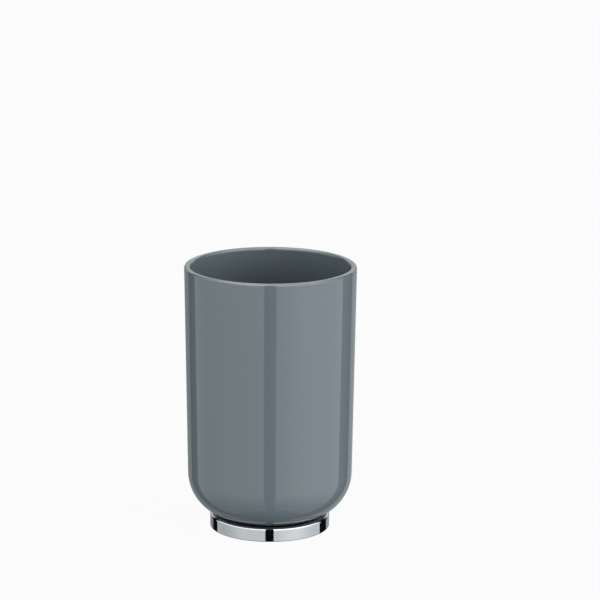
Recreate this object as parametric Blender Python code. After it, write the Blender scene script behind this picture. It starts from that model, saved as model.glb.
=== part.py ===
"""Toothbrush cup: a gloss moulded tumbler on a plated foot, screwed from below under a non-slip pad.

Lengths are in metres and +Z is up. The origin is the centre of the pad's resting face.
"""

import math

import bmesh
import bpy
from mathutils import Matrix, Vector

# Cup wall and lip
RIM_OUTER_RADIUS = 0.035
RIM_WALL = 0.00264
LIP_CROWN = 0.0012
LOWER_WALL_RADIUS = 0.0336
LOWER_WALL = 0.0028
BODY_HEIGHT = 0.10365

# Cup floor and corners
CORNER_RADIUS = 0.0184
CORNER_SWEEP = math.radians(69.6)
CORNER_EDGE_RADIUS = 0.0004
INNER_CORNER_RADIUS = 0.014
FLOOR_THICKNESS = 0.0028

# Neck and screw posts below the floor
NECK_WALL = 0.0024
NECK_FILLET = 0.0006
NECK_LEAD_IN = 0.0004
POST_RADIUS = 0.0034
POST_CLEARANCE = 0.0012
BLIND_SKIN = 0.0012
SCREW_COUNT = 3

# Plated foot
FOOT_RADIUS = 0.0245
FOOT_HEIGHT = 0.00565
FOOT_TOP_EDGE_RADIUS = 0.001
FOOT_BOTTOM_EDGE_RADIUS = 0.0004
FOOT_SKIRT = 0.0022
FOOT_WEB = 0.002
FOOT_TOP_SKIN = 0.002
PAD_LANDING = 0.0018
CORE_GROOVE_WIDTH = 0.0027
SOCKET_WALL = 0.002
SOCKET_LEAD_IN = 0.0003
RIB_COUNT = 6
RIB_THICKNESS = 0.0014

# Countersunk self-tapping screw
HEAD_RADIUS = 0.00275
HEAD_LAND = 0.0002
HEAD_SINK = 0.0001
CORE_RADIUS = 0.0011
THREAD_HEIGHT = 0.00035
THREAD_PITCH = 0.0011
THREAD_RIDGE_SHARE = 0.32
POINT_LENGTH = 0.0012
POINT_RADIUS = 0.0005
CROSS_SPAN = 0.0028
CROSS_SLOT = 0.0007
CROSS_DEPTH = 0.0012
CROSS_TAPER_SHARE = 0.6
SCREW_TURN = math.radians(25)

# Non-slip pad
PAD_THICKNESS = 0.0015
PAD_STANDOFF = 0.0004
PAD_CHAMFER = 0.0003
PAD_BORDER = 0.003
PAD_GROOVE_COUNT = 3
PAD_GROOVE_PITCH = 0.0045
PAD_GROOVE_WIDTH = 0.0012
PAD_GROOVE_DEPTH = 0.0004

# Clearance between pieces that touch, and how far a cutter runs past what it cuts
SEAT_GAP = 0.0003
OVERRUN = 0.001

# Fineness of the turned and threaded shapes
TURN_SEGMENTS = 80
PAD_SEGMENTS = 64
HOLE_SEGMENTS = 20
SCREW_SEGMENTS = 14
ROWS_PER_PITCH = 5
LIP_STEPS = 8
INNER_CORNER_STEPS = 8
OUTER_CORNER_STEPS = 10
SMALL_ARC_STEPS = 2
TOP_EDGE_STEPS = 4
BOTTOM_EDGE_STEPS = 3
MERGE_DISTANCE = 1e-6
SHARP_ANGLE = math.radians(32)

# Radii that follow from the foot, from the outside inwards
PAD_RECESS_RADIUS = FOOT_RADIUS - FOOT_SKIRT
PAD_RADIUS = PAD_RECESS_RADIUS - SEAT_GAP
GROOVE_OUTER_RADIUS = PAD_RECESS_RADIUS - PAD_LANDING
GROOVE_INNER_RADIUS = GROOVE_OUTER_RADIUS - CORE_GROOVE_WIDTH
SOCKET_RADIUS = GROOVE_INNER_RADIUS - SOCKET_WALL
NECK_RADIUS = SOCKET_RADIUS - SEAT_GAP
NECK_INNER_RADIUS = NECK_RADIUS - NECK_WALL
SCREW_CIRCLE_RADIUS = NECK_INNER_RADIUS - POST_CLEARANCE - POST_RADIUS

# Heights above the surface that the pad rests on, from the bottom up
RECESS_CEILING = PAD_THICKNESS + SEAT_GAP
HEAD_FACE = RECESS_CEILING + HEAD_SINK
SOCKET_FLOOR = RECESS_CEILING + FOOT_WEB
NECK_BOTTOM = SOCKET_FLOOR + SEAT_GAP
FOOT_TOP = PAD_STANDOFF + FOOT_HEIGHT
GROOVE_CEILING = FOOT_TOP - FOOT_TOP_SKIN
UNDERSIDE = FOOT_TOP + SEAT_GAP
FLOOR_TOP = UNDERSIDE + FLOOR_THICKNESS
RIM_TOP = UNDERSIDE + BODY_HEIGHT
LIP_BASE = RIM_TOP - LIP_CROWN
HOLE_CEILING = FLOOR_TOP - BLIND_SKIN
SCREW_LENGTH = HOLE_CEILING - SEAT_GAP - HEAD_FACE


def clear_scene():
    """Removes every object that the scene starts with."""
    for obj in list(bpy.data.objects):
        bpy.data.objects.remove(obj)


def make_material(name, colour, roughness, metallic=0.0):
    """A Principled material in one colour."""
    material = bpy.data.materials.new(name)
    material.use_nodes = True
    shader = material.node_tree.nodes["Principled BSDF"]
    shader.inputs["Base Color"].default_value = (*colour, 1)
    shader.inputs["Roughness"].default_value = roughness
    shader.inputs["Metallic"].default_value = metallic
    return material


def arc(centre, radius, start, end, steps, height_radius=None):
    """Points of (radius, height) on an arc from start to end: angle 0 points outwards and 90 degrees up.

    height_radius makes it a piece of an ellipse, and is the half axis that stands upright.
    """
    upright = radius if height_radius is None else height_radius
    angles = [start + (end - start) * step / steps for step in range(steps + 1)]
    return [(centre[0] + radius * math.cos(a), centre[1] + upright * math.sin(a)) for a in angles]


def tangent_angle(centre, radius, point):
    """Angle at which a straight line from a point above it meets a circle on the circle's outer side."""
    across, up = point[0] - centre[0], point[1] - centre[1]
    return math.atan2(up, across) - math.acos(radius / math.hypot(across, up))


def new_object(name, mesh_builder, material=None):
    """An object from a bmesh, with its normals facing out and smooth shading between sharp edges."""
    bmesh.ops.recalc_face_normals(mesh_builder, faces=mesh_builder.faces)
    mesh = bpy.data.meshes.new(name)
    mesh_builder.to_mesh(mesh)
    mesh_builder.free()
    shade(mesh)
    if material:
        mesh.materials.append(material)
    obj = bpy.data.objects.new(name, mesh)
    bpy.context.collection.objects.link(obj)
    return obj


def shade(mesh):
    """Smooth shading, with an edge wherever two faces turn by more than the sharp angle."""
    mesh.shade_smooth()
    mesh.set_sharp_from_angle(angle=SHARP_ANGLE)


def turned_shape(outline, segments):
    """A bmesh turned about Z from (radius, height) points that run down the outer side, axis to axis."""
    shape = bmesh.new()
    points = [shape.verts.new((radius, 0, height)) for radius, height in outline]
    edges = [shape.edges.new(pair) for pair in zip(points, points[1:])]
    bmesh.ops.spin(
        shape,
        geom=points + edges,
        cent=(0, 0, 0),
        axis=(0, 0, 1),
        angle=math.tau,
        steps=segments,
        use_merge=True,
    )
    bmesh.ops.remove_doubles(shape, verts=shape.verts, dist=MERGE_DISTANCE)
    return shape


def round_plug(radius, low, high):
    """Outline of a plain round plug between two heights."""
    return [(0, high), (radius, high), (radius, low), (0, low)]


def on_screw_circle(name, outline):
    """One helper object that holds a turned shape at the place of each screw."""
    helper = bmesh.new()
    for place in screw_places():
        single = turned_shape(outline, HOLE_SEGMENTS)
        bmesh.ops.transform(single, matrix=Matrix.Translation(place), verts=single.verts)
        mesh = bpy.data.meshes.new(name)
        single.to_mesh(mesh)
        single.free()
        helper.from_mesh(mesh)
        bpy.data.meshes.remove(mesh)
    return new_object(name, helper)


def screw_places():
    """Centres of the screws in plan, evenly round the axis."""
    angles = [math.pi / 2 + math.tau * index / SCREW_COUNT for index in range(SCREW_COUNT)]
    return [(SCREW_CIRCLE_RADIUS * math.cos(a), SCREW_CIRCLE_RADIUS * math.sin(a), 0) for a in angles]


def combine(obj, helper, operation):
    """Joins a helper to an object or cuts it out, and removes the helper."""
    step = obj.modifiers.new(helper.name, "BOOLEAN")
    step.operation = operation
    step.object = helper
    graph = bpy.context.evaluated_depsgraph_get()
    result = bpy.data.meshes.new_from_object(obj.evaluated_get(graph))
    obj.modifiers.clear()
    old = obj.data
    obj.data = result
    bpy.data.meshes.remove(old)
    result.name = obj.name
    shade(result)
    bpy.data.objects.remove(helper)


def body_outline():
    """Outline of the cup from the middle of its floor, over the lip and down to the neck's hollow."""
    inner_radius = LOWER_WALL_RADIUS - LOWER_WALL
    inner_centre = (inner_radius - INNER_CORNER_RADIUS, FLOOR_TOP + INNER_CORNER_RADIUS)
    inner_rim = (RIM_OUTER_RADIUS - RIM_WALL, LIP_BASE)
    inner_touch = tangent_angle(inner_centre, INNER_CORNER_RADIUS, inner_rim)

    corner_rise = CORNER_RADIUS * math.sin(CORNER_SWEEP)
    outer_centre = (LOWER_WALL_RADIUS - CORNER_RADIUS, UNDERSIDE + corner_rise)
    outer_touch = tangent_angle(outer_centre, CORNER_RADIUS, (RIM_OUTER_RADIUS, LIP_BASE))
    # A tighter arc, tangent to the corner's and to the flat underside, ends the corner.
    edge_distance = CORNER_RADIUS - CORNER_EDGE_RADIUS
    edge_angle = math.asin((corner_rise - CORNER_EDGE_RADIUS) / edge_distance)
    edge_centre = (outer_centre[0] + edge_distance * math.cos(edge_angle), UNDERSIDE + CORNER_EDGE_RADIUS)

    lip_centre = (RIM_OUTER_RADIUS - RIM_WALL / 2, LIP_BASE)
    fillet_centre = (NECK_RADIUS + NECK_FILLET, UNDERSIDE - NECK_FILLET)
    straight_up, straight_down = math.pi / 2, -math.pi / 2
    return [
        (0, FLOOR_TOP),
        *arc(inner_centre, INNER_CORNER_RADIUS, straight_down, inner_touch, INNER_CORNER_STEPS),
        *arc(lip_centre, RIM_WALL / 2, math.pi, 0, LIP_STEPS, LIP_CROWN),
        *arc(outer_centre, CORNER_RADIUS, outer_touch, -edge_angle, OUTER_CORNER_STEPS),
        *arc(edge_centre, CORNER_EDGE_RADIUS, -edge_angle, straight_down, SMALL_ARC_STEPS)[1:],
        *arc(fillet_centre, NECK_FILLET, straight_up, math.pi, SMALL_ARC_STEPS),
        (NECK_RADIUS, NECK_BOTTOM + NECK_LEAD_IN),
        (NECK_RADIUS - NECK_LEAD_IN, NECK_BOTTOM),
        (NECK_INNER_RADIUS, NECK_BOTTOM),
        (NECK_INNER_RADIUS, UNDERSIDE),
        (0, UNDERSIDE),
    ]


def make_body(material):
    """The moulded cup: a turned shell with three blind screw posts in the hollow of its neck."""
    body = new_object("tumbler_body", turned_shape(body_outline(), TURN_SEGMENTS), material)
    post_top = UNDERSIDE + FLOOR_THICKNESS / 2
    combine(body, on_screw_circle("posts", round_plug(POST_RADIUS, NECK_BOTTOM, post_top)), "UNION")
    hole_radius = CORE_RADIUS + THREAD_HEIGHT + SEAT_GAP
    holes = round_plug(hole_radius, NECK_BOTTOM - OVERRUN, HOLE_CEILING)
    combine(body, on_screw_circle("post_holes", holes), "DIFFERENCE")
    return body


def foot_outline():
    """Outline of the foot: socket above, rounded edges outside, pad recess and core groove below."""
    top_centre = (FOOT_RADIUS - FOOT_TOP_EDGE_RADIUS, FOOT_TOP - FOOT_TOP_EDGE_RADIUS)
    bottom_centre = (FOOT_RADIUS - FOOT_BOTTOM_EDGE_RADIUS, PAD_STANDOFF + FOOT_BOTTOM_EDGE_RADIUS)
    return [
        (0, SOCKET_FLOOR),
        (SOCKET_RADIUS, SOCKET_FLOOR),
        (SOCKET_RADIUS, FOOT_TOP - SOCKET_LEAD_IN),
        (SOCKET_RADIUS + SOCKET_LEAD_IN, FOOT_TOP),
        *arc(top_centre, FOOT_TOP_EDGE_RADIUS, math.pi / 2, 0, TOP_EDGE_STEPS),
        *arc(bottom_centre, FOOT_BOTTOM_EDGE_RADIUS, 0, -math.pi / 2, BOTTOM_EDGE_STEPS),
        (PAD_RECESS_RADIUS, PAD_STANDOFF),
        (PAD_RECESS_RADIUS, RECESS_CEILING),
        (GROOVE_OUTER_RADIUS, RECESS_CEILING),
        (GROOVE_OUTER_RADIUS, GROOVE_CEILING),
        (GROOVE_INNER_RADIUS, GROOVE_CEILING),
        (GROOVE_INNER_RADIUS, RECESS_CEILING),
        (0, RECESS_CEILING),
    ]


def foot_ribs():
    """One helper object with the ribs that cross the core groove, level with the pad's seat."""
    helper = bmesh.new()
    inner, outer = GROOVE_INNER_RADIUS - SOCKET_WALL / 2, GROOVE_OUTER_RADIUS + PAD_LANDING / 2
    low, high = RECESS_CEILING, GROOVE_CEILING + FOOT_TOP_SKIN / 2
    size = Matrix.Diagonal((outer - inner, RIB_THICKNESS, high - low, 1))
    middle = Matrix.Translation(((inner + outer) / 2, 0, (low + high) / 2))
    for index in range(RIB_COUNT):
        turn = Matrix.Rotation(math.tau * index / RIB_COUNT, 4, "Z")
        bmesh.ops.create_cube(helper, size=1, matrix=turn @ middle @ size)
    return new_object("ribs", helper)


def screw_clearance():
    """Outline of the countersunk hole that a screw passes through, a seat gap wider than the screw."""
    head = HEAD_RADIUS + SEAT_GAP
    shank = CORE_RADIUS + THREAD_HEIGHT + SEAT_GAP
    cone_base = HEAD_FACE + HEAD_LAND
    return [
        (0, SOCKET_FLOOR + OVERRUN),
        (shank, SOCKET_FLOOR + OVERRUN),
        (shank, cone_base + head - shank),
        (head, cone_base),
        (head, RECESS_CEILING - OVERRUN),
        (0, RECESS_CEILING - OVERRUN),
    ]


def make_foot(material):
    """The plated foot, with ribs in its core groove and countersunk holes through its web."""
    foot = new_object("plated_foot", turned_shape(foot_outline(), TURN_SEGMENTS), material)
    combine(foot, foot_ribs(), "UNION")
    combine(foot, on_screw_circle("countersinks", screw_clearance()), "DIFFERENCE")
    return foot


def screw_rings():
    """Rings of the screw from its head's face upwards, as (height, radius, ridge height)."""
    cone_end = HEAD_LAND + HEAD_RADIUS - CORE_RADIUS
    point_start = SCREW_LENGTH - POINT_LENGTH
    rows = math.ceil((point_start - cone_end) / THREAD_PITCH * ROWS_PER_PITCH)
    rings = [(0, HEAD_RADIUS, 0), (HEAD_LAND, HEAD_RADIUS, 0)]
    for row in range(rows + 1):
        share = row / rows
        # The ridge grows out of the plain shank and runs out again before the point.
        ridge = THREAD_HEIGHT * min(1, share * ROWS_PER_PITCH, (1 - share) * ROWS_PER_PITCH)
        rings.append((cone_end + (point_start - cone_end) * share, CORE_RADIUS, ridge))
    rings.append((SCREW_LENGTH, POINT_RADIUS, 0))
    return rings


def ridge_share(height, turn):
    """How much of the thread's ridge a point of the shank has: 1 on the ridge and 0 between its turns."""
    place = (height / THREAD_PITCH - turn) % 1
    return max(0, 1 - abs(place - 0.5) / THREAD_RIDGE_SHARE)


def cross_recess():
    """The tapered cross that is cut into a screw's head."""
    cutter = bmesh.new()
    arm, slot = CROSS_SPAN / 2, CROSS_SLOT / 2
    quarter = [(arm, -slot), (arm, slot), (slot, slot)]
    plan = []
    for index in range(4):
        turn = Matrix.Rotation(math.pi / 2 * index, 2)
        plan += [turn @ Vector(corner) for corner in quarter]
    rings = []
    for height, share in ((-OVERRUN, 1), (0, 1), (CROSS_DEPTH, CROSS_TAPER_SHARE)):
        rings.append([cutter.verts.new((*point * share, height)) for point in plan])
    skin(cutter, rings)
    return new_object("cross", cutter)


def skin(shape, rings):
    """Faces between rings of points, and a flat face on the first and the last."""
    for low, high in zip(rings, rings[1:]):
        for index in range(len(low)):
            after = (index + 1) % len(low)
            shape.faces.new((low[index], low[after], high[after], high[index]))
    shape.faces.new(reversed(rings[0]))
    shape.faces.new(rings[-1])


def make_screws(material):
    """The self-tapping screws, each turned to an angle of its own, heads down under the pad."""
    shape = bmesh.new()
    rings = []
    for height, radius, ridge in screw_rings():
        ring = []
        for index in range(SCREW_SEGMENTS):
            turn = index / SCREW_SEGMENTS
            reach = radius + ridge * ridge_share(height, turn)
            angle = math.tau * turn
            ring.append(shape.verts.new((reach * math.cos(angle), reach * math.sin(angle), height)))
        rings.append(ring)
    skin(shape, rings)
    pattern = new_object("foot_screw", shape, material)
    combine(pattern, cross_recess(), "DIFFERENCE")
    for index, (x, y, _) in enumerate(screw_places()):
        screw = bpy.data.objects.new(f"foot_screw_{index + 1}", pattern.data)
        screw.location = (x, y, HEAD_FACE)
        screw.rotation_euler.z = SCREW_TURN * (index + 1)
        bpy.context.collection.objects.link(screw)
    bpy.data.objects.remove(pattern)


def pad_outline():
    """Outline of the pad, with round grooves in its resting face."""
    outline = [
        (0, PAD_THICKNESS),
        (PAD_RADIUS, PAD_THICKNESS),
        (PAD_RADIUS, PAD_CHAMFER),
        (PAD_RADIUS - PAD_CHAMFER, 0),
    ]
    for index in range(PAD_GROOVE_COUNT):
        outer = PAD_RADIUS - PAD_BORDER - PAD_GROOVE_PITCH * index
        inner = outer - PAD_GROOVE_WIDTH
        outline += [(outer, 0), (outer, PAD_GROOVE_DEPTH), (inner, PAD_GROOVE_DEPTH), (inner, 0)]
    return outline + [(0, 0)]


def make_pad(material):
    """The non-slip pad, bonded into the recess under the foot and a little proud of it."""
    return new_object("non_slip_pad", turned_shape(pad_outline(), PAD_SEGMENTS), material)


def main():
    """Builds the cup at its real size, standing on the origin."""
    clear_scene()
    make_body(make_material("grey_plastic", (0.14, 0.168, 0.185), 0.05))
    make_foot(make_material("plated_chrome", (0.565, 0.575, 0.585), 0.04, metallic=1))
    make_screws(make_material("zinc_steel", (0.6, 0.61, 0.63), 0.35, metallic=1))
    make_pad(make_material("black_rubber", (0.03, 0.03, 0.032), 0.8))


main()
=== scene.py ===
"""Toothbrush cup: a gloss grey tumbler on a chrome foot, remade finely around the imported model.

Lengths are in metres and +Z is up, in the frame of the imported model. The camera looks along +Y.
"""

import logging
import math
from collections.abc import Mapping, Sequence
from dataclasses import dataclass, field
from enum import Enum
from typing import Union

import bmesh
import bpy
from mathutils import Matrix, Vector


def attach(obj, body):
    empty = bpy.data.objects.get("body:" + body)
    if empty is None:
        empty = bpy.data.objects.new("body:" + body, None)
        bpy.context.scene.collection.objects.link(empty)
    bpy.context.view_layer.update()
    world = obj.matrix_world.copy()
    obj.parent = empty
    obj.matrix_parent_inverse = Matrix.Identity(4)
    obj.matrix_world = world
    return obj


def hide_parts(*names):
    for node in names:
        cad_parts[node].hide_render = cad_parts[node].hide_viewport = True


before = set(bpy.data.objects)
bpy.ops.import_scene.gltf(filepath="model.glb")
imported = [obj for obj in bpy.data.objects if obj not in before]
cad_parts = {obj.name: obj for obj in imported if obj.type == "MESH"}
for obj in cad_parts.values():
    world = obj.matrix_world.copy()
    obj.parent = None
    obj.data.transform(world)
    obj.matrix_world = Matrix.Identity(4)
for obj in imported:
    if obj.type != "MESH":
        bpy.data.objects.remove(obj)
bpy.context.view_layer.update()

log = logging.getLogger("toothbrush_cup")

Point = tuple[float, float]
Span = tuple[float, float]
Triple = tuple[float, float, float]
Colour = tuple[float, float, float]
Number = Union["Term", float, int]

BODY = "root"
QUARTER_TURN = math.pi / 2
MERGE_DISTANCE = 1e-7
SHARP_ANGLE = math.radians(32)
MICRON = 1e-6
MILLIMETRE = 1e-3
MATRIX_SIZE = 4
FULL = 1.0
OPAQUE = 1.0
WHITE: Colour = (1.0, 1.0, 1.0)
UNSTRETCHED: Triple = (1.0, 1.0, 1.0)
SOFT_DETAIL = 1.0
NOISE_MIDDLE = 0.5

# Socket numbers of the nodes that give several sockets one name
MATHS_FIRST, MATHS_SECOND = 0, 1
SHADER_SHARE, SHADER_FIRST, SHADER_SECOND = 0, 1, 2
MIX_SHARE, MIX_FIRST, MIX_SECOND, MIX_RESULT = 0, 6, 7, 2


class Slot(Enum):
    """The record's material slots. The new pieces take their own finishes, not these."""

    CUP_PLASTIC = "cup_plastic"
    FOOT_CHROME = "foot_chrome"
    PAD_RUBBER = "pad_rubber"


class Join(Enum):
    """How a helper shape changes the piece that it meets."""

    ADD = "UNION"
    CUT = "DIFFERENCE"


# Shader maths


@dataclass(frozen=True)
class Term:
    """An output socket that takes part in Python expressions, each of which adds its Math node."""

    graph: "Graph"
    socket: bpy.types.NodeSocket

    def __add__(self, other: Number) -> "Term":
        """Sum."""
        return self.graph.maths("ADD", self, other)

    def __radd__(self, other: Number) -> "Term":
        """Sum with a number on the left."""
        return self.graph.maths("ADD", other, self)

    def __sub__(self, other: Number) -> "Term":
        """Difference."""
        return self.graph.maths("SUBTRACT", self, other)

    def __rsub__(self, other: Number) -> "Term":
        """Difference with a number on the left."""
        return self.graph.maths("SUBTRACT", other, self)

    def __mul__(self, other: Number) -> "Term":
        """Product."""
        return self.graph.maths("MULTIPLY", self, other)

    def __rmul__(self, other: Number) -> "Term":
        """Product with a number on the left."""
        return self.graph.maths("MULTIPLY", other, self)

    def __neg__(self) -> "Term":
        """The opposite number."""
        return self.graph.maths("MULTIPLY", self, -1.0)

    def __abs__(self) -> "Term":
        """The size of the number without its sign."""
        return self.graph.maths("ABSOLUTE", self)

    def rise(self, low: float, high: float) -> "Term":
        """A soft step of the value.

        Args:
            low: The value up to which the step is 0.
            high: The value from which it is 1.

        Returns:
            The step, from 0 to 1.
        """
        return self.graph.term(
            "ShaderNodeMapRange",
            {"interpolation_type": "SMOOTHSTEP"},
            {"Value": self, "From Min": low, "From Max": high},
        )

    def within(self, low: float, high: float, soft: float) -> "Term":
        """A soft band of the value.

        Args:
            low: The middle of the band's lower edge.
            high: The middle of its upper edge.
            soft: How far each edge spreads to both sides.

        Returns:
            1 inside the band and 0 outside it.
        """
        start = self.rise(low - soft, low + soft)
        end = self.rise(high - soft, high + soft)
        return start - end


class Graph:
    """The nodes of one material or world."""

    def __init__(self, tree: bpy.types.NodeTree) -> None:
        """Empties the node tree that the nodes go into."""
        self.tree = tree
        self.tree.nodes.clear()

    def node(
        self,
        kind: str,
        settings: Mapping[str, object] | None = None,
        sockets: Mapping[str | int, object] | None = None,
    ) -> bpy.types.Node:
        """Adds one node.

        Args:
            kind: The node's type.
            settings: Its settings, which are set first.
            sockets: What each input takes: a plain value, or a Term to link.

        Returns:
            The new node.
        """
        made = self.tree.nodes.new(kind)
        for name, value in (settings or {}).items():
            setattr(made, name, value)
        for name, value in (sockets or {}).items():
            if isinstance(value, Term):
                self.tree.links.new(value.socket, made.inputs[name])
            else:
                made.inputs[name].default_value = value
        return made

    def term(
        self,
        kind: str,
        settings: Mapping[str, object] | None = None,
        sockets: Mapping[str | int, object] | None = None,
        output: str | int = 0,
    ) -> Term:
        """Adds one node, as node does, and hands over the output of that name or number."""
        return Term(self, self.node(kind, settings, sockets).outputs[output])

    def maths(self, operation: str, first: Number, second: Number = 0.0) -> Term:
        """Adds a Math node for an operation on one value or two."""
        sockets = {MATHS_FIRST: first, MATHS_SECOND: second}
        return self.term("ShaderNodeMath", {"operation": operation}, sockets)

    def blend(self, share: Number, first: Term | Colour, second: Term | Colour) -> Term:
        """Mixes two colours.

        Args:
            share: How much of the second colour there is, from 0 to 1.
            first: The colour at 0.
            second: The colour at 1.

        Returns:
            The mixed colour.
        """
        pair = [value if isinstance(value, Term) else (*value, OPAQUE) for value in (first, second)]
        sockets = {MIX_SHARE: share, MIX_FIRST: pair[0], MIX_SECOND: pair[1]}
        return self.term("ShaderNodeMix", {"data_type": "RGBA"}, sockets, MIX_RESULT)

    def place(self, stretch: Triple = UNSTRETCHED) -> Term:
        """The point's place on the object, in metres.

        Args:
            stretch: What each coordinate is multiplied by.

        Returns:
            The place as a vector.
        """
        spot = self.term("ShaderNodeTexCoord", output="Object")
        sockets = {MATHS_FIRST: spot, MATHS_SECOND: stretch}
        return self.term("ShaderNodeVectorMath", {"operation": "MULTIPLY"}, sockets)

    def noise(self, place: Term, size: float, detail: float = 2.0) -> Term:
        """Soft variation from 0 to 1, in patches of a size in metres, with detail finer layers."""
        return self.term("ShaderNodeTexNoise", None, {"Vector": place, "Scale": 1 / size, "Detail": detail})

    def hairlines(self, place: Term, size: float, thin: float) -> Term:
        """Fine lines, such as those that wiping leaves.

        Args:
            place: Where they are read, multiplied most in the direction across the lines.
            size: The distance between lines, in metres of that place.
            thin: How much of the noise's range a line takes.

        Returns:
            1 on a line and 0 beside it.
        """
        level = self.noise(place, size, SOFT_DETAIL)
        beside = abs(level - NOISE_MIDDLE).rise(0.0, thin)
        return 1 - beside

    def bump(self, height: Term, depth: float, under: Term | None = None) -> Term:
        """Turns a height into a change of the surface's normal.

        Args:
            height: The height, from 0 to 1.
            depth: What a height of 1 measures, in metres.
            under: The bump that this one goes on top of.

        Returns:
            The normal.
        """
        sockets: dict[str | int, object] = {"Strength": FULL, "Distance": depth, "Height": height}
        if under is not None:
            sockets["Normal"] = under
        return self.term("ShaderNodeBump", None, sockets)

    def principled(self, sockets: Mapping[str | int, object]) -> None:
        """Ends a material in one shader, with what its inputs take."""
        shader = self.term("ShaderNodeBsdfPrincipled", None, sockets)
        self.node("ShaderNodeOutputMaterial", None, {"Surface": shader})


# Finishes


@dataclass(frozen=True)
class Finish:
    """A surface finish. Each kind fills a graph in its own way."""

    name: str

    def material(self) -> bpy.types.Material:
        """Makes the material.

        Returns:
            The new material.
        """
        material = bpy.data.materials.new(self.name)
        material.use_nodes = True
        self.fill(Graph(material.node_tree))
        return material

    def fill(self, graph: Graph) -> None:
        """Adds the finish's nodes to a graph."""
        raise NotImplementedError


@dataclass(frozen=True)
class GlossPlastic(Finish):
    """Through-coloured moulded plastic with a gloss skin, handled a little at the lip."""

    name: str = "gloss_plastic"
    colour: Colour = (0.139, 0.167, 0.184)
    pale: Colour = (0.144, 0.172, 0.189)
    cloud_size: float = 22 * MILLIMETRE
    cloud_share: float = 0.7
    grain_size: float = 0.35 * MILLIMETRE
    grain_detail: float = 3.0
    roughness: float = 0.05
    refraction: float = 1.58
    smudge_size: float = 11 * MILLIMETRE
    smudge_detail: float = 4.0
    smudge_span: Span = (0.52, 0.72)
    smudge_dulling: float = 0.03
    handled_span: Span = (0.1065, 0.11)
    handled_dulling: float = 0.03
    hairline_pitch: float = 7 * MILLIMETRE
    hairline_stretch: Triple = (1.0, 1.0, 14.0)
    hairline_width: float = 0.008
    hairline_dulling: float = 0.06
    hairline_depth: float = 0.3 * MICRON
    peel_size: float = 2.6 * MILLIMETRE
    peel_depth: float = 1.4 * MICRON

    def fill(self, graph: Graph) -> None:
        """Cloudy pigment, a faint orange peel, smudges and hairlines.

        Args:
            graph: The graph that they go into.
        """
        spot = graph.place()
        height = graph.term("ShaderNodeSeparateXYZ", None, {"Vector": spot}, "Z")
        cloud = graph.noise(spot, self.cloud_size)
        grain = graph.noise(spot, self.grain_size, self.grain_detail)
        smudge = graph.noise(spot, self.smudge_size, self.smudge_detail).rise(*self.smudge_span)
        handled = height.rise(*self.handled_span)
        lines = graph.place(self.hairline_stretch)
        hairline = graph.hairlines(lines, self.hairline_pitch, self.hairline_width)
        waves = graph.bump(graph.noise(spot, self.peel_size, SOFT_DETAIL), self.peel_depth)
        scored = graph.bump(1 - hairline, self.hairline_depth, waves)
        pigment = self.cloud_share * cloud + (1 - self.cloud_share) * grain
        roughness = (
            self.roughness
            + self.smudge_dulling * smudge
            + self.handled_dulling * handled
            + self.hairline_dulling * hairline
        )
        graph.principled(
            {
                "Base Color": graph.blend(pigment, self.colour, self.pale),
                "Roughness": roughness,
                "IOR": self.refraction,
                "Normal": scored,
            }
        )


@dataclass(frozen=True)
class BrightChrome(Finish):
    """Mirror-bright plating over polished metal."""

    name: str = "bright_chrome"
    colour: Colour = (0.565, 0.575, 0.585)
    shade: Colour = (0.53, 0.54, 0.55)
    roughness: float = 0.035
    patch_size: float = 6 * MILLIMETRE
    patch_detail: float = 3.0
    patch_span: Span = (0.5, 0.75)
    patch_dulling: float = 0.04
    hairline_pitch: float = 5 * MILLIMETRE
    hairline_stretch: Triple = (1.0, 1.0, 20.0)
    hairline_width: float = 0.006
    hairline_dulling: float = 0.06
    hairline_depth: float = 0.15 * MICRON
    wave_size: float = 3.2 * MILLIMETRE
    wave_depth: float = 0.6 * MICRON

    def fill(self, graph: Graph) -> None:
        """Faint polishing waves, wipe marks and dull patches.

        Args:
            graph: The graph that they go into.
        """
        spot = graph.place()
        dull = graph.noise(spot, self.patch_size, self.patch_detail).rise(*self.patch_span)
        lines = graph.place(self.hairline_stretch)
        hairline = graph.hairlines(lines, self.hairline_pitch, self.hairline_width)
        waves = graph.bump(graph.noise(spot, self.wave_size, SOFT_DETAIL), self.wave_depth)
        scored = graph.bump(1 - hairline, self.hairline_depth, waves)
        graph.principled(
            {
                "Base Color": graph.blend(dull, self.colour, self.shade),
                "Metallic": FULL,
                "Roughness": self.roughness + self.patch_dulling * dull + self.hairline_dulling * hairline,
                "Normal": scored,
            }
        )


@dataclass(frozen=True)
class ZincSteel(Finish):
    """Zinc-plated steel with a passivation that wanders between bluish and straw."""

    name: str = "zinc_steel"
    blue: Colour = (0.56, 0.6, 0.65)
    straw: Colour = (0.64, 0.62, 0.55)
    roughness: float = 0.3
    tint_size: float = 1.8 * MILLIMETRE
    tint_detail: float = 3.0
    tint_span: Span = (0.35, 0.65)
    grain_size: float = 0.08 * MILLIMETRE
    grain_detail: float = 3.0
    grain_dulling: float = 0.16
    turning_pitch: float = 0.6 * MILLIMETRE
    turning_stretch: Triple = (1.0, 1.0, 10.0)
    turning_share: float = 0.5
    relief_depth: float = 4 * MICRON

    def fill(self, graph: Graph) -> None:
        """Wandering tint, grainy plating and turning marks.

        Args:
            graph: The graph that they go into.
        """
        spot = graph.place()
        tint = graph.noise(spot, self.tint_size, self.tint_detail).rise(*self.tint_span)
        grain = graph.noise(spot, self.grain_size, self.grain_detail)
        turning = graph.noise(graph.place(self.turning_stretch), self.turning_pitch)
        relief = (1 - self.turning_share) * grain + self.turning_share * turning
        graph.principled(
            {
                "Base Color": graph.blend(tint, self.blue, self.straw),
                "Metallic": FULL,
                "Roughness": self.roughness + self.grain_dulling * grain,
                "Normal": graph.bump(relief, self.relief_depth),
            }
        )


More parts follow.
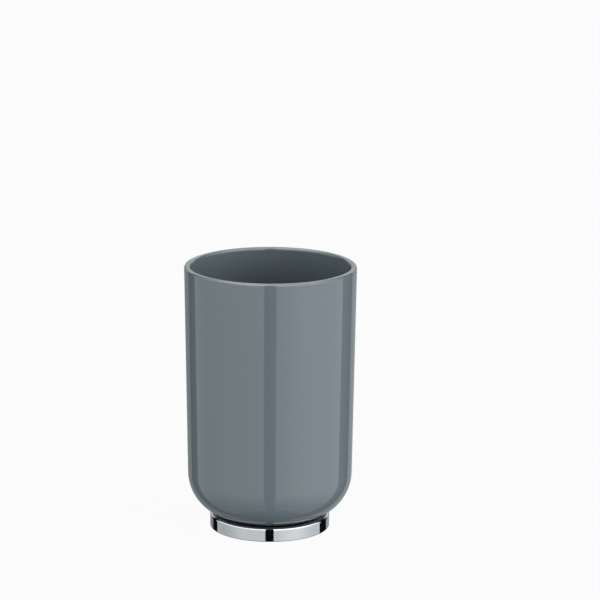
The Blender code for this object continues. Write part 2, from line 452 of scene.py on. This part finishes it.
@dataclass(frozen=True)
class PadRubber(Finish):
    """Matt black rubber with a moulded grain and a trace of dust."""

    name: str = "pad_rubber"
    colour: Colour = (0.028, 0.028, 0.03)
    dust: Colour = (0.065, 0.063, 0.06)
    roughness: float = 0.72
    dust_size: float = 5 * MILLIMETRE
    dust_detail: float = 5.0
    dust_span: Span = (0.48, 0.7)
    dust_dulling: float = 0.1
    grain_size: float = 0.22 * MILLIMETRE
    grain_detail: float = 4.0
    grain_dulling: float = 0.12
    grain_depth: float = 18 * MICRON

    def fill(self, graph: Graph) -> None:
        """Fine grain and dusty patches.

        Args:
            graph: The graph that they go into.
        """
        spot = graph.place()
        dusty = graph.noise(spot, self.dust_size, self.dust_detail).rise(*self.dust_span)
        grain = graph.noise(spot, self.grain_size, self.grain_detail)
        graph.principled(
            {
                "Base Color": graph.blend(dusty, self.colour, self.dust),
                "Roughness": self.roughness + self.dust_dulling * dusty + self.grain_dulling * grain,
                "Normal": graph.bump(grain, self.grain_depth),
            }
        )


# Turned shapes


def arc(
    centre: Point,
    radius: float,
    start: float,
    end: float,
    steps: int,
    upright: float | None = None,
) -> list[Point]:
    """Points of (radius, height) on an arc. Angle 0 points outwards and a quarter turn up.

    Args:
        centre: The arc's centre.
        radius: Its half axis across.
        start: The angle of its first point.
        end: The angle of its last point.
        steps: How many straight pieces it has.
        upright: Its half axis up, where it differs.

    Returns:
        The points, ends included.
    """
    tall = radius if upright is None else upright
    angles = [start + (end - start) * step / steps for step in range(steps + 1)]
    return [(centre[0] + radius * math.cos(a), centre[1] + tall * math.sin(a)) for a in angles]


def line(start: Point, end: Point, steps: int) -> list[Point]:
    """Points between two ends, without them, and closer together towards both for even shading."""
    shares = [(1 - math.cos(math.pi * step / steps)) / 2 for step in range(1, steps)]
    return [tuple(a + (b - a) * share for a, b in zip(start, end)) for share in shares]


def tangent_angle(centre: Point, radius: float, point: Point) -> float:
    """Angle at which a line from a point above touches a circle on its outer side."""
    across, up = point[0] - centre[0], point[1] - centre[1]
    return math.atan2(up, across) - math.acos(radius / math.hypot(across, up))


def turned(outline: Sequence[Point], segments: int) -> bmesh.types.BMesh:
    """Turns an outline about the axis.

    Args:
        outline: Points of (radius, height), from axis to axis.
        segments: How many sides the shape has.

    Returns:
        The closed shape.
    """
    shape = bmesh.new()
    points = [shape.verts.new((radius, 0, height)) for radius, height in outline]
    edges = [shape.edges.new(pair) for pair in zip(points, points[1:])]
    bmesh.ops.spin(
        shape,
        geom=points + edges,
        cent=(0, 0, 0),
        axis=(0, 0, 1),
        angle=math.tau,
        steps=segments,
        use_merge=True,
    )
    bmesh.ops.remove_doubles(shape, verts=shape.verts, dist=MERGE_DISTANCE)
    return shape


def plug(radius: float, low: float, high: float) -> list[Point]:
    """Outline of a plain round plug between two heights."""
    return [(0, high), (radius, high), (radius, low), (0, low)]


def smooth(mesh: bpy.types.Mesh) -> None:
    """Shades a mesh smoothly, with an edge wherever it turns sharply."""
    mesh.shade_smooth()
    mesh.set_sharp_from_angle(angle=SHARP_ANGLE)


def make_object(name: str, shape: bmesh.types.BMesh) -> bpy.types.Object:
    """Makes an object from a shape, and frees the shape.

    Args:
        name: The object's name.
        shape: The shape that it takes.

    Returns:
        The object, with its normals facing out.
    """
    bmesh.ops.recalc_face_normals(shape, faces=shape.faces)
    mesh = bpy.data.meshes.new(name)
    shape.to_mesh(mesh)
    shape.free()
    smooth(mesh)
    made = bpy.data.objects.new(name, mesh)
    bpy.context.scene.collection.objects.link(made)
    return made


def combine(piece: bpy.types.Object, helper: bpy.types.Object, join: Join) -> None:
    """Adds a helper to a piece or cuts it out, and removes the helper.

    Args:
        piece: The piece that changes.
        helper: The helper shape.
        join: What is done with it.
    """
    step = piece.modifiers.new(helper.name, "BOOLEAN")
    step.operation = join.value
    step.object = helper
    depsgraph = bpy.context.evaluated_depsgraph_get()
    result = bpy.data.meshes.new_from_object(piece.evaluated_get(depsgraph))
    piece.modifiers.clear()
    old = piece.data
    piece.data = result
    bpy.data.meshes.remove(old)
    result.name = piece.name
    smooth(result)
    bpy.data.objects.remove(helper)


def dress(piece: bpy.types.Object, finish: Finish, node: str) -> None:
    """Gives a new piece its finish, its body and the node that it stands for.

    Args:
        piece: The new piece.
        finish: Its finish.
        node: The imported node.
    """
    piece.data.materials.clear()
    piece.data.materials.append(finish.material())
    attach(piece, BODY)
    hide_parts(node)
    log.info("%s: %d faces, stands for %s", piece.name, len(piece.data.polygons), node)


# Sub-assemblies


@dataclass(frozen=True)
class Fit:
    """What the pieces share where they meet."""

    seat_gap: float = 0.0003
    overrun: float = 0.001
    pad_standoff: float = 0.0004
    foot_radius: float = 0.0245
    foot_height: float = 0.00565
    foot_skirt: float = 0.0022
    foot_web: float = 0.002
    pad_landing: float = 0.0018
    groove_width: float = 0.0027
    socket_wall: float = 0.002
    pad_thickness: float = 0.0015
    neck_wall: float = 0.0024
    post_radius: float = 0.0034
    post_clearance: float = 0.0012
    screw_count: int = 3
    head_radius: float = 0.00275
    head_land: float = 0.0002
    head_sink: float = 0.0001
    shank_radius: float = 0.00145
    turn_segments: int = 240
    hole_segments: int = 36

    @property
    def recess_radius(self) -> float:
        """Radius of the recess that the pad lies in."""
        return self.foot_radius - self.foot_skirt

    @property
    def groove_outer(self) -> float:
        """Outer radius of the foot's core groove."""
        return self.recess_radius - self.pad_landing

    @property
    def groove_inner(self) -> float:
        """Inner radius of the foot's core groove."""
        return self.groove_outer - self.groove_width

    @property
    def socket_radius(self) -> float:
        """Radius of the socket that takes the neck."""
        return self.groove_inner - self.socket_wall

    @property
    def neck_radius(self) -> float:
        """Outer radius of the cup's neck."""
        return self.socket_radius - self.seat_gap

    @property
    def neck_inner(self) -> float:
        """Inner radius of the cup's neck."""
        return self.neck_radius - self.neck_wall

    @property
    def screw_circle(self) -> float:
        """Radius of the circle that the screws stand on."""
        return self.neck_inner - self.post_clearance - self.post_radius

    @property
    def recess_ceiling(self) -> float:
        """Height of the face that the pad is bonded to."""
        return self.pad_thickness + self.seat_gap

    @property
    def head_face(self) -> float:
        """Height of the screw heads' faces."""
        return self.recess_ceiling + self.head_sink

    @property
    def socket_floor(self) -> float:
        """Height of the socket's floor."""
        return self.recess_ceiling + self.foot_web

    @property
    def foot_top(self) -> float:
        """Height of the foot's top face."""
        return self.pad_standoff + self.foot_height

    def at_screws(self, name: str, outline: Sequence[Point]) -> bpy.types.Object:
        """Sets a turned helper at the place of each screw.

        Args:
            name: The helper's name.
            outline: The outline of one of its shapes.

        Returns:
            One helper object with all the shapes.
        """
        helper = bmesh.new()
        for index in range(self.screw_count):
            angle = QUARTER_TURN + math.tau * index / self.screw_count
            spot = Vector((self.screw_circle * math.cos(angle), self.screw_circle * math.sin(angle), 0))
            single = turned(outline, self.hole_segments)
            bmesh.ops.translate(single, vec=spot, verts=single.verts)
            mesh = bpy.data.meshes.new(name)
            single.to_mesh(mesh)
            single.free()
            helper.from_mesh(mesh)
            bpy.data.meshes.remove(mesh)
        return make_object(name, helper)


@dataclass
class Tumbler:
    """The moulded cup: lip, tapered wall, rounded corner, floor, and the neck with its screw posts."""

    fit: Fit
    finish: Finish = field(default_factory=GlossPlastic)
    rim_radius: float = 0.035
    rim_wall: float = 0.00264
    lip_crown: float = 0.0012
    lower_radius: float = 0.0336
    lower_wall: float = 0.0028
    height: float = 0.10365
    corner_radius: float = 0.0184
    corner_sweep: float = math.radians(69.6)
    corner_edge: float = 0.0004
    inner_corner: float = 0.014
    floor: float = 0.0028
    neck_fillet: float = 0.0006
    neck_lead_in: float = 0.0004
    blind_skin: float = 0.0012
    wall_steps: int = 16
    arc_steps: int = 30
    lip_steps: int = 24
    small_steps: int = 8

    @property
    def underside(self) -> float:
        """Height of the cup's flat underside, which rests on the foot."""
        return self.fit.foot_top + self.fit.seat_gap

    @property
    def lip_base(self) -> float:
        """Height at which the lip starts to round."""
        return self.underside + self.height - self.lip_crown

    def inner_line(self) -> list[Point]:
        """The inside, from the middle of the floor up to the lip.

        Returns:
            Points of (radius, height).
        """
        floor_top = self.underside + self.floor
        radius = self.inner_corner
        centre = (self.lower_radius - self.lower_wall - radius, floor_top + radius)
        rim = (self.rim_radius - self.rim_wall, self.lip_base)
        touch = tangent_angle(centre, radius, rim)
        corner = arc(centre, radius, -QUARTER_TURN, touch, self.arc_steps)
        middle = (0.0, floor_top)
        return [
            middle,
            *line(middle, corner[0], self.small_steps),
            *corner,
            *line(corner[-1], rim, self.wall_steps),
        ]

    def outer_line(self) -> list[Point]:
        """The outside, from below the lip down to the flat underside.

        Returns:
            Points of (radius, height).
        """
        rise = self.corner_radius * math.sin(self.corner_sweep)
        centre = (self.lower_radius - self.corner_radius, self.underside + rise)
        rim = (self.rim_radius, self.lip_base)
        touch = tangent_angle(centre, self.corner_radius, rim)
        reach = self.corner_radius - self.corner_edge
        turn = math.asin((rise - self.corner_edge) / reach)
        edge_centre = (centre[0] + reach * math.cos(turn), self.underside + self.corner_edge)
        corner = arc(centre, self.corner_radius, touch, -turn, self.arc_steps)
        edge = arc(edge_centre, self.corner_edge, -turn, -QUARTER_TURN, self.small_steps)
        return [*line(rim, corner[0], self.wall_steps), *corner, *edge[1:]]

    def neck_line(self) -> list[Point]:
        """The neck below the underside, and the hollow inside it.

        Returns:
            Points of (radius, height).
        """
        radius, fillet, lead = self.fit.neck_radius, self.neck_fillet, self.neck_lead_in
        bottom = self.fit.socket_floor + self.fit.seat_gap
        centre = (radius + fillet, self.underside - fillet)
        return [
            *arc(centre, fillet, QUARTER_TURN, math.pi, self.small_steps),
            (radius, bottom + lead),
            (radius - lead, bottom),
            (self.fit.neck_inner, bottom),
            (self.fit.neck_inner, self.underside),
            (0.0, self.underside),
        ]

    def outline(self) -> list[Point]:
        """The whole outline, from the middle of the floor over the lip to the neck's hollow.

        Returns:
            Points of (radius, height).
        """
        centre = (self.rim_radius - self.rim_wall / 2, self.lip_base)
        lip = arc(centre, self.rim_wall / 2, math.pi, 0, self.lip_steps, self.lip_crown)
        return [*self.inner_line(), *lip, *self.outer_line(), *self.neck_line()]

    def build(self) -> bpy.types.Object:
        """Makes the cup and dresses it.

        Returns:
            The cup.
        """
        fit = self.fit
        cup = make_object("cup_moulding", turned(self.outline(), fit.turn_segments))
        bottom = fit.socket_floor + fit.seat_gap
        posts = plug(fit.post_radius, bottom, self.underside + self.floor / 2)
        combine(cup, fit.at_screws("posts", posts), Join.ADD)
        ceiling = self.underside + self.floor - self.blind_skin
        holes = plug(fit.shank_radius + fit.seat_gap, bottom - fit.overrun, ceiling)
        combine(cup, fit.at_screws("post_holes", holes), Join.CUT)
        dress(cup, self.finish, "tumbler_body")
        return cup


@dataclass
class Foot:
    """The plated foot: rounded edges, the neck's socket, and the pad's recess with its core groove."""

    fit: Fit
    finish: Finish = field(default_factory=BrightChrome)
    top_edge: float = 0.001
    bottom_edge: float = 0.0004
    top_skin: float = 0.002
    lead_in: float = 0.0003
    rib_count: int = 6
    rib_thickness: float = 0.0014
    edge_steps: int = 12

    def outline(self) -> list[Point]:
        """The whole outline, from the middle of the socket's floor over the outside to the recess.

        Returns:
            Points of (radius, height).
        """
        fit, top = self.fit, self.fit.foot_top
        low = fit.pad_standoff
        upper = (fit.foot_radius - self.top_edge, top - self.top_edge)
        lower = (fit.foot_radius - self.bottom_edge, low + self.bottom_edge)
        rounded_top = arc(upper, self.top_edge, QUARTER_TURN, 0, self.edge_steps)
        rounded_bottom = arc(lower, self.bottom_edge, 0, -QUARTER_TURN, self.edge_steps)
        return [
            (0.0, fit.socket_floor),
            (fit.socket_radius, fit.socket_floor),
            (fit.socket_radius, top - self.lead_in),
            (fit.socket_radius + self.lead_in, top),
            *rounded_top,
            *line(rounded_top[-1], rounded_bottom[0], self.edge_steps),
            *rounded_bottom,
            (fit.recess_radius, low),
            (fit.recess_radius, fit.recess_ceiling),
            (fit.groove_outer, fit.recess_ceiling),
            (fit.groove_outer, top - self.top_skin),
            (fit.groove_inner, top - self.top_skin),
            (fit.groove_inner, fit.recess_ceiling),
            (0.0, fit.recess_ceiling),
        ]

    def ribs(self) -> bpy.types.Object:
        """The ribs that cross the core groove.

        Returns:
            One helper object with all of them.
        """
        fit, helper = self.fit, bmesh.new()
        inner = fit.groove_inner - fit.socket_wall / 2
        outer = fit.groove_outer + fit.pad_landing / 2
        low, high = fit.recess_ceiling, fit.foot_top - self.top_skin / 2
        size = Matrix.Diagonal((outer - inner, self.rib_thickness, high - low, 1))
        middle = Matrix.Translation(((inner + outer) / 2, 0, (low + high) / 2))
        for index in range(self.rib_count):
            turn = Matrix.Rotation(math.tau * index / self.rib_count, MATRIX_SIZE, "Z")
            bmesh.ops.create_cube(helper, size=1, matrix=turn @ middle @ size)
        return make_object("ribs", helper)

    def countersink(self) -> list[Point]:
        """Outline of the hole that a screw passes through.

        Returns:
            Points of (radius, height).
        """
        fit = self.fit
        head, shank = fit.head_radius + fit.seat_gap, fit.shank_radius + fit.seat_gap
        above, below = fit.socket_floor + fit.overrun, fit.recess_ceiling - fit.overrun
        cone = fit.head_face + fit.head_land
        return [
            (0.0, above),
            (shank, above),
            (shank, cone + head - shank),
            (head, cone),
            (head, below),
            (0.0, below),
        ]

    def build(self) -> bpy.types.Object:
        """Makes the foot and dresses it.

        Returns:
            The foot.
        """
        foot = make_object("foot_ring", turned(self.outline(), self.fit.turn_segments))
        combine(foot, self.ribs(), Join.ADD)
        combine(foot, self.fit.at_screws("countersinks", self.countersink()), Join.CUT)
        dress(foot, self.finish, "plated_foot")
        return foot


@dataclass
class Pad:
    """The rubber pad under the foot, with round grooves in its resting face."""

    fit: Fit
    finish: Finish = field(default_factory=PadRubber)
    edge_radius: float = 0.0003
    border: float = 0.003
    groove_count: int = 3
    groove_pitch: float = 0.0045
    groove_width: float = 0.0012
    groove_depth: float = 0.0004
    edge_steps: int = 5
    groove_steps: int = 10
    segments: int = 160

    def outline(self) -> list[Point]:
        """The pad's outline, from the middle of its bonded face to the middle of its resting face.

        Returns:
            Points of (radius, height).
        """
        radius = self.fit.recess_radius - self.fit.seat_gap
        thick = self.fit.pad_thickness
        edge = (radius - self.edge_radius, self.edge_radius)
        points = [
            (0.0, thick),
            (radius - self.edge_radius / 2, thick),
            (radius, thick - self.edge_radius / 2),
            *arc(edge, self.edge_radius, 0, -QUARTER_TURN, self.edge_steps),
        ]
        half = self.groove_width / 2
        for index in range(self.groove_count):
            middle = radius - self.border - self.groove_pitch * index - half
            points += arc((middle, 0.0), half, 0, math.pi, self.groove_steps, self.groove_depth)
        return [*points, (0.0, 0.0)]

    def build(self) -> bpy.types.Object:
        """Makes the pad and dresses it.

        Returns:
            The pad.
        """
        pad = make_object("grip_pad", turned(self.outline(), self.segments))
        dress(pad, self.finish, "non_slip_pad")
        return pad


@dataclass
class Screws:
    """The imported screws, which keep their shape and get a better finish."""

    fit: Fit
    finish: Finish = field(default_factory=ZincSteel)

    def build(self) -> None:
        """Dresses each packed screw."""
        material = self.finish.material()
        for index in range(self.fit.screw_count):
            node = f"foot_screw_{index + 1}"
            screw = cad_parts[node]
            for place in screw.material_slots:
                place.material = material
            log.info("%s: keeps its shape", node)


# Studio


@dataclass
class SoftLamp:
    """A square soft lamp that mirrors don't show."""

    name: str
    azimuth: float
    elevation: float
    distance: float
    size: float
    power: float
    target: Vector = field(default_factory=lambda: Vector((0, 0, 0.055)))

    def build(self) -> None:
        """Makes the lamp, turned to the cup. Azimuth 0 is the camera's side."""
        a, e = math.radians(self.azimuth), math.radians(self.elevation)
        away = Vector((math.sin(a) * math.cos(e), -math.cos(a) * math.cos(e), math.sin(e)))
        data = bpy.data.lights.new(self.name, "AREA")
        data.shape = "SQUARE"
        data.size = self.size
        data.energy = self.power
        lamp = bpy.data.objects.new(self.name, data)
        lamp.location = self.target + away * self.distance
        lamp.rotation_euler = away.to_track_quat("Z", "Y").to_euler()
        lamp.visible_glossy = False
        lamp.visible_camera = False
        bpy.context.scene.collection.objects.link(lamp)


@dataclass(frozen=True)
class Ray:
    """Where a ray that reaches the world goes, and what kind of ray it is.

    The x and y are components of its direction. The azimuth and the elevation are in degrees: azimuth 0
    is the camera's side and positive is its right, and steep is the elevation without its sign. Seen is 1
    for the camera, mirrors and clear things, and 0 for the light on matt surfaces.
    """

    x: Term
    y: Term
    azimuth: Term
    elevation: Term
    steep: Term
    camera: Term
    seen: Term

    @classmethod
    def read(cls, graph: Graph) -> "Ray":
        """Reads the ray.

        Args:
            graph: The world's graph.

        Returns:
            What is known of the ray.
        """
        direction = graph.term("ShaderNodeTexCoord", output="Generated")
        parts = graph.node("ShaderNodeSeparateXYZ", None, {"Vector": direction})
        x, y, z = (Term(graph, parts.outputs[axis]) for axis in "XYZ")
        azimuth = graph.maths("ARCTAN2", x, -y) * math.degrees(1)
        elevation = graph.maths("ARCSINE", z) * math.degrees(1)
        kinds = graph.node("ShaderNodeLightPath")
        camera, glossy, through = (
            Term(graph, kinds.outputs[name])
            for name in ("Is Camera Ray", "Is Glossy Ray", "Is Transmission Ray")
        )
        seen = graph.maths("MINIMUM", camera + glossy + through, 1.0)
        return cls(x, y, azimuth, elevation, abs(elevation), camera, seen)


@dataclass
class Surroundings:
    """What lights the cup and what it mirrors.

    Two soft panels stand left and right. One dark gap lies between them in front and one behind each,
    and behind the cup is the pale backdrop. A bright lamp is overhead. Levels are strengths. A span holds
    the two values between which something changes. They are azimuths or elevations in degrees, but for
    the side, front and lamp side spans they are components of the direction.
    """

    left_end: float = -122.0
    left_start: float = -8.4
    right_start: float = 7.9
    right_end: float = 113.2
    left_gap_end: float = -142.5
    right_gap_end: float = 142.0
    edge_softness: float = 0.5
    left_level: float = 0.73
    left_glow: float = 0.29
    left_glow_span: Span = (-100.0, -50.0)
    right_level: float = 1.08
    right_rise: float = 0.2
    right_rise_span: Span = (10.0, 50.0)
    right_fall: float = 0.3
    right_fall_span: Span = (52.0, 100.0)
    panel_fade: float = 0.58
    panel_fade_span: Span = (18.0, 55.0)
    room_fade: float = 0.32
    room_fade_span: Span = (14.0, 46.0)
    panel_drop: float = 0.1
    panel_drop_span: Span = (13.0, 18.0)
    gap_level: float = 0.006
    room_share: float = 0.85
    backdrop_fade: float = 0.5
    backdrop_fade_span: Span = (20.0, 50.0)
    left_low: float = 0.33
    right_low: float = 0.48
    horizon_span: Span = (-6.0, 20.0)
    side_span: Span = (-0.25, 0.25)
    cap_span: Span = (61.0, 71.0)
    above_level: float = 0.08
    below_level: float = 0.03
    fill_level: float = 0.79
    fill_span: Span = (10.0, 40.0)
    lamp_span: Span = (8.0, 44.0)
    gap_lamp_span: Span = (50.0, 62.0)
    lamp_back: float = 2.6
    lamp_front: float = 4.0
    front_span: Span = (-0.4, 0.4)
    left_lamp_low: float = 0.58
    left_lamp_side: float = 0.34
    lamp_side_span: Span = (-0.3, 0.22)
    left_lamp_high: float = 1.45
    left_lamp_high_span: Span = (44.0, 52.0)
    page_level: float = 0.966
    panel_tint: Colour = (0.94, 0.985, 1.0)
    back_tint: Colour = (0.91, 0.965, 1.0)

    def panels(self, ray: Ray, left: Term, right: Term) -> Term:
        """The two soft panels, which fade upwards and downwards.

        Args:
            ray: The ray.
            left: 1 where it meets the left panel, otherwise 0.
            right: 1 where it meets the right panel, otherwise 0.

        Returns:
            Their level.
        """
        left_level = self.left_level + self.left_glow * ray.azimuth.rise(*self.left_glow_span)
        right_level = (
            self.right_level
            + self.right_rise * ray.azimuth.rise(*self.right_rise_span)
            - self.right_fall * ray.azimuth.rise(*self.right_fall_span)
        )
        fade = (
            1
            - self.panel_fade * ray.steep.rise(*self.panel_fade_span)
            - self.room_fade * (1 - ray.seen) * ray.steep.rise(*self.room_fade_span)
            - self.panel_drop * (-ray.elevation).rise(*self.panel_drop_span)
        )
        return fade * (left_level * left + right_level * right)

    def backdrop(self, ray: Ray) -> Term:
        """The pale backdrop. It is white where it is seen, dimmer for matt surfaces, and grey low down.

        Args:
            ray: The ray.

        Returns:
            Its level.
        """
        white = (
            self.room_share
            + (1 - self.room_share) * ray.seen
            - self.backdrop_fade * (1 - ray.seen) * ray.steep.rise(*self.backdrop_fade_span)
        )
        low = self.left_low + (self.right_low - self.left_low) * ray.x.rise(*self.side_span)
        return white * (low + (1 - low) * ray.elevation.rise(*self.horizon_span))

    def lamp(self, ray: Ray) -> Term:
        """The lamp overhead, brightest in front. Its left side is dimmer low down and brighter high up.

        Args:
            ray: The ray.

        Returns:
            Its level.
        """
        level = self.lamp_back + (self.lamp_front - self.lamp_back) * (-ray.y).rise(*self.front_span)
        low = self.left_lamp_low + self.left_lamp_side * ray.y.rise(*self.lamp_side_span)
        left = low + (self.left_lamp_high - low) * ray.elevation.rise(*self.left_lamp_high_span)
        return level * (1 + (left - 1) * (-ray.x).rise(*self.side_span))

    def build(self) -> None:
        """Makes the world."""
        world = bpy.data.worlds.new("studio")
        world.use_nodes = True
        bpy.context.scene.world = world
        graph = Graph(world.node_tree)
        ray = Ray.read(graph)
        left = ray.azimuth.within(self.left_end, self.left_start, self.edge_softness)
        right = ray.azimuth.within(self.right_start, self.right_end, self.edge_softness)
        gap = (
            ray.azimuth.within(self.left_start, self.right_start, self.edge_softness)
            + ray.azimuth.within(self.left_gap_end, self.left_end, self.edge_softness)
            + ray.azimuth.within(self.right_end, self.right_gap_end, self.edge_softness)
        )
        backdrop = self.backdrop(ray) * (1 - left - right - gap)
        around = self.panels(ray, left, right) + backdrop + self.gap_level * gap
        above = ray.elevation.rise(*self.cap_span)
        below = (-ray.elevation).rise(*self.cap_span)
        # The fill only lights matt surfaces, from all around and near the horizon.
        fill = self.fill_level * (1 - ray.seen) * (1 - ray.steep.rise(*self.fill_span))
        sides = around * (1 - above - below)
        plain = sides + self.above_level * above + self.below_level * below + fill
        # Only mirrors and clear things see the lamp. It shows in the lip and in the foot's upper edge,
        # and the gaps hide its lower part.
        shown = 1 - gap * (1 - ray.elevation.rise(*self.gap_lamp_span))
        share = ray.seen * ray.elevation.rise(*self.lamp_span) * shown
        level = plain + (self.lamp(ray) - plain) * share
        strength = self.page_level * ray.camera + (1 - ray.camera) * level
        tint = graph.blend(left + right, self.back_tint, self.panel_tint)
        colour = graph.blend(ray.camera, tint, WHITE)
        light = graph.term("ShaderNodeBackground", None, {"Color": colour, "Strength": strength})
        graph.node("ShaderNodeOutputWorld", None, {"Surface": light})


@dataclass
class Ground:
    """The pale floor. It shows to the camera and takes the shadow, but sends the cup no light."""

    radius: float = 8.0
    sides: int = 96
    drop: float = 0.00002
    colour: Colour = (0.9, 0.9, 0.9)
    white_level: float = 1.0
    white_share: float = 0.94

    def build(self) -> None:
        """Makes the floor, which is mostly plain white to the camera."""
        shape = bmesh.new()
        bmesh.ops.create_circle(shape, cap_ends=True, radius=self.radius, segments=self.sides)
        ground = make_object("ground", shape)
        ground.location.z = -self.drop
        ground.visible_glossy = False
        ground.visible_diffuse = False
        material = bpy.data.materials.new("pale_floor")
        material.use_nodes = True
        graph = Graph(material.node_tree)
        camera = graph.term("ShaderNodeLightPath", output="Is Camera Ray")
        matt = graph.term("ShaderNodeBsdfDiffuse", None, {"Color": (*self.colour, OPAQUE)})
        glow = {"Color": (*WHITE, OPAQUE), "Strength": self.white_level}
        white = graph.term("ShaderNodeEmission", None, glow)
        share = camera * self.white_share
        sockets = {SHADER_SHARE: share, SHADER_FIRST: matt, SHADER_SECOND: white}
        surface = graph.term("ShaderNodeMixShader", None, sockets)
        graph.node("ShaderNodeOutputMaterial", None, {"Surface": surface})
        ground.data.materials.append(material)


@dataclass
class Eye:
    """The camera, as solved from the outlines of the cup and the foot."""

    place: Vector = field(default_factory=lambda: Vector((0.0, -1.3099, 0.4077)))
    yaw: float = math.radians(0.5235)
    pitch: float = math.radians(13.4076)
    roll: float = math.radians(0.3257)
    lens: float = 199.19
    sensor: float = 36.0
    nearest: float = 0.05
    furthest: float = 60.0

    def build(self) -> None:
        """Makes the camera and hands it to the scene."""
        forward = Vector(
            (
                math.sin(self.yaw) * math.cos(self.pitch),
                math.cos(self.yaw) * math.cos(self.pitch),
                -math.sin(self.pitch),
            )
        )
        right = Vector((math.cos(self.yaw), -math.sin(self.yaw), 0))
        up = right.cross(forward)
        c, s = math.cos(self.roll), math.sin(self.roll)
        across, upward = c * right + s * up, c * up - s * right
        turn = Matrix((across, upward, -forward)).transposed()
        data = bpy.data.cameras.new("eye")
        data.lens = self.lens
        data.sensor_width = self.sensor
        data.clip_start = self.nearest
        data.clip_end = self.furthest
        camera = bpy.data.objects.new("eye", data)
        camera.matrix_world = Matrix.Translation(self.place) @ turn.to_4x4()
        bpy.context.scene.collection.objects.link(camera)
        bpy.context.scene.camera = camera


@dataclass
class Studio:
    """The floor, the lamps, what the cup mirrors, and the camera."""

    lamps: Sequence[SoftLamp] = (
        SoftLamp("right_side", azimuth=75, elevation=10, distance=1.2, size=0.7, power=5.0),
    )

    def build(self) -> None:
        """Sets the studio up."""
        bpy.context.scene.view_settings.view_transform = "Standard"
        Surroundings().build()
        Ground().build()
        for lamp in self.lamps:
            lamp.build()
        Eye().build()
        log.info("studio: %d lamp(s)", len(self.lamps))


def main() -> None:
    """Builds every piece, then the studio around them."""
    logging.basicConfig(level=logging.INFO, format="%(message)s")
    fit = Fit()
    Tumbler(fit).build()
    Foot(fit).build()
    Pad(fit).build()
    Screws(fit).build()
    Studio().build()


if __name__ == "__main__":
    main()
